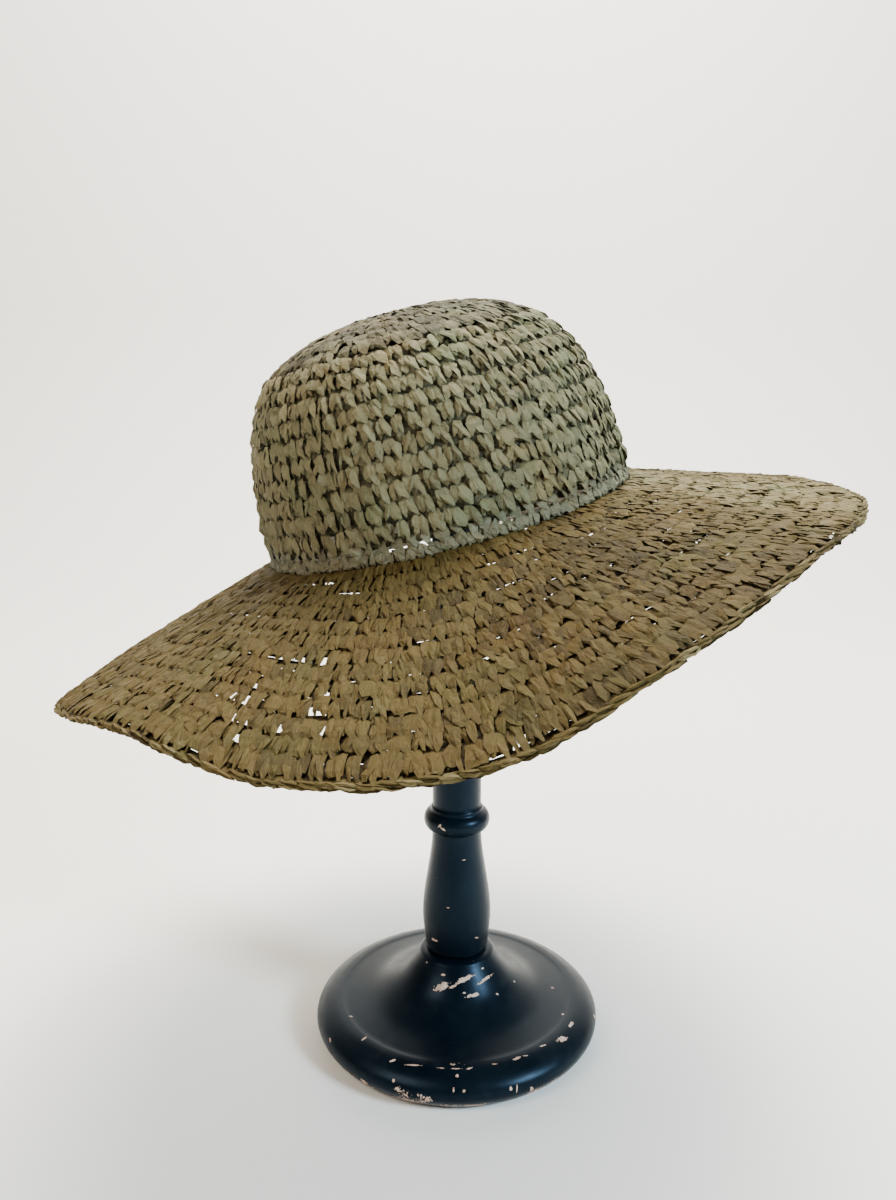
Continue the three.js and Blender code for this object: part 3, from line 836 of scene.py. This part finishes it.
def on_brim(turn, rounds, down, across, out):
    """Points on the brim: rounds counts them from the base row, the rest as on the crown."""
    start, run = brim_run(turn)
    share = (rounds * round_width(turn) + down) / np.linalg.norm(run, axis=-1)
    radius = np.linalg.norm((start + run * share[..., None])[..., :2], axis=-1)
    turn = turn + across / radius
    start, run = brim_run(turn)
    run /= np.linalg.norm(run, axis=-1, keepdims=True)
    level = np.linalg.norm(run[..., :2], axis=-1, keepdims=True)
    up = np.concatenate([-run[..., 2:] * run[..., :2] / level, level], -1)
    far = rounds * round_width(turn) + down
    return on_hat(start + run * far[..., None] + up * (out + BRIM_LIFT)[..., None])


def brim_round_place(turn, rounds, top):
    """How a round of the brim places its strands, one turn and one top line for each stitch."""
    def place(down, across, out, keep=slice(None)):
        turned_to = turn[keep][:, None, None] + 0 * down
        return on_brim(turned_to, rounds, top[keep][:, None, None] + down, across, out)
    return place


def stitch_widths(points):
    """Half the way in mm from each stitch's left neighbour to its right one, round the brim."""
    return np.linalg.norm(np.roll(points, -1, axis=0) - np.roll(points, 1, axis=0), axis=1) * 500


# Each charted hole's turn round the head and place in the rounds, read back from the photograph
fine_parts = BRIM_ROUNDS * SEARCH_PARTS
fine_turn = np.radians(np.arange(180, 360, SEARCH_DEGREES))[None, :] + np.zeros((fine_parts, 1))
fine_round = (np.arange(fine_parts) / SEARCH_PARTS)[:, None] + 0 * fine_turn
fine_seen = in_photo(on_brim(fine_turn, fine_round, 0 * fine_turn, 0 * fine_turn, 0 * fine_turn))
# where a stitch's hole stands, as shares of the stitch; how many stitches are pulled along with
# it and the most in mm that they drop; and how far they are pushed apart round a large hole
HOLE_ACROSS, HOLE_DOWN = 0.50, 0.70
HOLE_PULL, HOLE_DROP = 2.2, 0.6
LARGE_PUSH, SMALL_PUSH = 0.09, 0.0
hole_places = []
for push, chart in ((LARGE_PUSH, LARGE_HOLES), (SMALL_PUSH, SMALL_HOLES)):
    for spot in chart:
        nearest = np.hypot(*np.moveaxis(fine_seen - spot, -1, 0)).argmin()
        hole_places.append((push, fine_turn.flat[nearest], fine_round.flat[nearest]))

brim_straw = straw("brim_straw",
                   (0.024, 0.015, 0.0030, 1), (0.076, 0.052, 0.0138, 1), (0.176, 0.142, 0.068, 1),
                   WARM_TINT, GREEN_TINT, Specular_IOR_Level=0.12)
# how much paler the straw is at the right, a painted highlight of the window light there, and browner at
# the front, with where and how far round
BRIM_PAINTED_LIGHT_AND_TONE = [(0.34, 350, 26), (-0.17, 300, 24), (-0.08, 262, 30)]


def painted_light_and_tone_at(turn):
    """How much paler than usual the straw is at a turn round the head: painted light at the right, browner
    straw at the front.
    """
    painted_light_and_tone = 0 * turn
    for amount, middle, spread in BRIM_PAINTED_LIGHT_AND_TONE:
        away = (np.degrees(turn) - middle + 180) % 360 - 180
        painted_light_and_tone = painted_light_and_tone + amount * np.exp(-(away / spread) ** 2)
    return painted_light_and_tone


brim_pieces = {"brim_inner": range(0, 5),
               "brim_middle": range(5, 9),
               "brim_outer": range(9, BRIM_ROUNDS)}
for name, rounds in brim_pieces.items():
    bundles = []
    for row in rounds:
        share = row / (BRIM_ROUNDS - 1)
        count = round(FIRST_ROUND_STITCHES + (LAST_ROUND_STITCHES - FIRST_ROUND_STITCHES) * share)
        phase += SIDE_STEP
        pitch = 2 * math.pi / count
        turn = (np.arange(count) + phase) * pitch
        top = wavy(turn, BRIM_WAVE)
        hole = np.zeros(count, bool)
        # the stitches round a charted hole are pulled aside, so that it stands where it should
        for push, hole_turn, hole_round in hole_places:
            if round(hole_round - HOLE_DOWN) != row:
                continue
            off = (hole_turn - turn - HOLE_ACROSS * pitch + math.pi) % (2 * math.pi) - math.pi
            nearest = np.abs(off).argmin()
            from_hole = np.arange(count) - nearest - 0.5
            pull = np.exp(-(from_hole / HOLE_PULL) ** 2)
            turn = turn + off[nearest] * pull
            turn = turn + push * pitch * np.sign(from_hole) * pull
            drop = (hole_round - HOLE_DOWN - row) * round_width(turn)
            top = top + np.clip(drop, -HOLE_DROP, HOLE_DROP) * pull
            hole[nearest] = True
        height = round_width(turn)
        width = stitch_widths(on_brim(turn, row, WIDEST_AT * height, 0 * turn, 0 * turn))
        if row == 0:
            above = brim_round_place(turn, row, top - height)
            # the seam's bars are given a darker tone: painted shade
            seam_shade = np.full(count, SEAM_BAR_SHADED_TONE)
            bundles.append(laid(above, CROSS_BAR, width, height, seam_shade, unruly=BAR_UNRULY))
        if row == BRIM_ROUNDS - 1:
            height = LAST_ROUND_REACH * height
        bundles += stitches(brim_round_place(turn, row, top), FLAT_LEGS, width, height, hole, BRIM_UNRULY,
                            painted_light_and_tone_at(turn))
    straw_piece(name, bundles, brim_straw, "brim")


# Edging: the last round
# A rope-like round along the brim's edge, worked backwards: one long slim strand a stitch lies
# along the top, one rolls over the rim in a small scallop, and one lies underneath.

edging_straw = straw("edging_straw",
                     (0.024, 0.016, 0.0036, 1), (0.078, 0.055, 0.0157, 1), (0.165, 0.132, 0.062, 1),
                     WARM_TINT, GREEN_TINT, Specular_IOR_Level=0.12)
EDGE_TOP = {"outline": FOLD_LEFT, "thick": 0.6, "roll": 0.1,
            "lane": (-0.75, -0.5, -0.2, 0.1, 0.45, 0.72),
            "half": (0.04, 0.09, 0.11, 0.11, 0.09, 0.04),
            "fall": (0.28, 0.32, 0.37, 0.41, 0.44, 0.46),
            "out": (-1.4, -0.6, -0.4, -0.3, -0.5, -1.4)}
EDGE_RIM = {"outline": FOLD_LEFT, "thick": 0.7, "roll": -0.6,
            "lane": (-0.70, -0.42, -0.12, 0.18, 0.48, 0.75),
            "half": (0.04, 0.10, 0.12, 0.12, 0.10, 0.04),
            "fall": (0.40, 0.49, 0.54, 0.56, 0.51, 0.40),
            "out": (-1.0, -0.9, -0.9, -1.2, -1.7, -2.4)}
EDGE_UNDER = {"outline": BAND, "thick": 0.6, "roll": 0.0,
              "lane": (-0.7, -0.35, 0.0, 0.35, 0.7),
              "half": (0.12, 0.18, 0.2, 0.18, 0.12),
              "fall": (0.20, 0.30, 0.36, 0.34, 0.24),
              "out": (-2.3, -2.6, -2.8, -2.6, -2.3)}
EDGE_CORE = {"outline": BAND, "thick": 0.6, "roll": 0.0,
             "lane": (-0.6, -0.3, 0.0, 0.3, 0.6),
             "half": (0.29, 0.31, 0.31, 0.31, 0.29),
             "fall": (0.29, 0.31, 0.32, 0.31, 0.29),
             "out": (-1.8, -1.7, -1.7, -1.7, -1.8)}
# where the edging starts as a share of a stitch, its middle in mm past the last round, and how
# much its strands vary in tone and in place
EDGING_START, EDGING_MIDDLE = 0.3, 3
EDGING_TONE, EDGING_UNRULY = 0.16, 0.7
turn = (np.arange(LAST_ROUND_STITCHES) + EDGING_START) * 2 * math.pi / LAST_ROUND_STITCHES
height = round_width(turn)
width = stitch_widths(on_brim(turn, BRIM_ROUNDS, 0 * turn + EDGING_MIDDLE, 0 * turn, 0 * turn))
tone = np.clip(0.5 + EDGING_TONE * rng.standard_normal(LAST_ROUND_STITCHES), 0, 1)
place = brim_round_place(turn, BRIM_ROUNDS, np.zeros(LAST_ROUND_STITCHES))
bundles = [laid(place, strand, width, height, tone, unruly=EDGING_UNRULY)
           for strand in (EDGE_TOP, EDGE_RIM, EDGE_UNDER, EDGE_CORE)]
straw_piece("brim_edge", bundles, edging_straw, "brim_edging")


# Floor and light
# A pale floor that sweeps up into a pale wall. Warm soft light comes from the upper left and
# cooler window light from the front right, a wide light hangs overhead and one washes the wall.

SWEEP_FRONT, SWEEP_BACK, SWEEP_TOP, SWEEP_HALF, SWEEP_BEND = -3.0, 1.5, 3.2, 4.0, 0.5
bend = [(SWEEP_BACK - SWEEP_BEND + SWEEP_BEND * math.sin(angle),
         SWEEP_BEND - SWEEP_BEND * math.cos(angle))
        for angle in np.linspace(0, math.pi / 2, 17)]
side_line = [(SWEEP_FRONT, 0.0)] + bend + [(SWEEP_BACK, SWEEP_TOP)]
floor_mesh = bpy.data.meshes.new("floor")
floor_mesh.from_pydata([(x, y, z) for y, z in side_line for x in (-SWEEP_HALF, SWEEP_HALF)], [],
                       [(2 * i, 2 * i + 1, 2 * i + 3, 2 * i + 2) for i in range(len(side_line) - 1)])
floor_mesh.polygons.foreach_set("use_smooth", [True] * len(floor_mesh.polygons))
floor = bpy.data.objects.new("floor", floor_mesh)
bpy.context.scene.collection.objects.link(floor)
floor_mesh.materials.append(new_material("floor", Roughness=0.75, Base_Color=(0.90, 0.87, 0.82, 1))[0])

world = bpy.data.worlds.new("room")
world.use_nodes = True
world.node_tree.nodes["Background"].inputs[0].default_value = (0.95, 0.92, 0.87, 1)
world.node_tree.nodes["Background"].inputs[1].default_value = 0.2
bpy.context.scene.world = world


def lamp(name, place, target, size, power, colour):
    """A square soft light at place, aimed at target."""
    light = bpy.data.lights.new(name, "AREA")
    light.shape, light.size, light.energy, light.color = "SQUARE", size, power, colour
    holder = bpy.data.objects.new(name, light)
    bpy.context.scene.collection.objects.link(holder)
    away = np.array(place) - np.array(target)
    holder.location = place
    holder.rotation_euler = (math.atan2(math.hypot(away[0], away[1]), away[2]), 0,
                             math.atan2(away[1], away[0]) + math.pi / 2)


HAT_MIDDLE = (0, 0, 0.3)
lamp("warm_left", (-1.2, -1.0, 1.6), HAT_MIDDLE, 0.9, 28, (1.0, 0.90, 0.76))
lamp("window_right", (1.25, -0.80, 0.95), HAT_MIDDLE, 0.45, 50, (0.66, 0.86, 1.0))
lamp("overhead", (0.45, 0.45, 1.95), HAT_MIDDLE, 0.8, 48, (1.0, 0.95, 0.84))
lamp("wall_wash", (0.0, 0.6, 2.2), (0, 1.5, 0.7), 1.2, 95, (1.0, 0.96, 0.90))
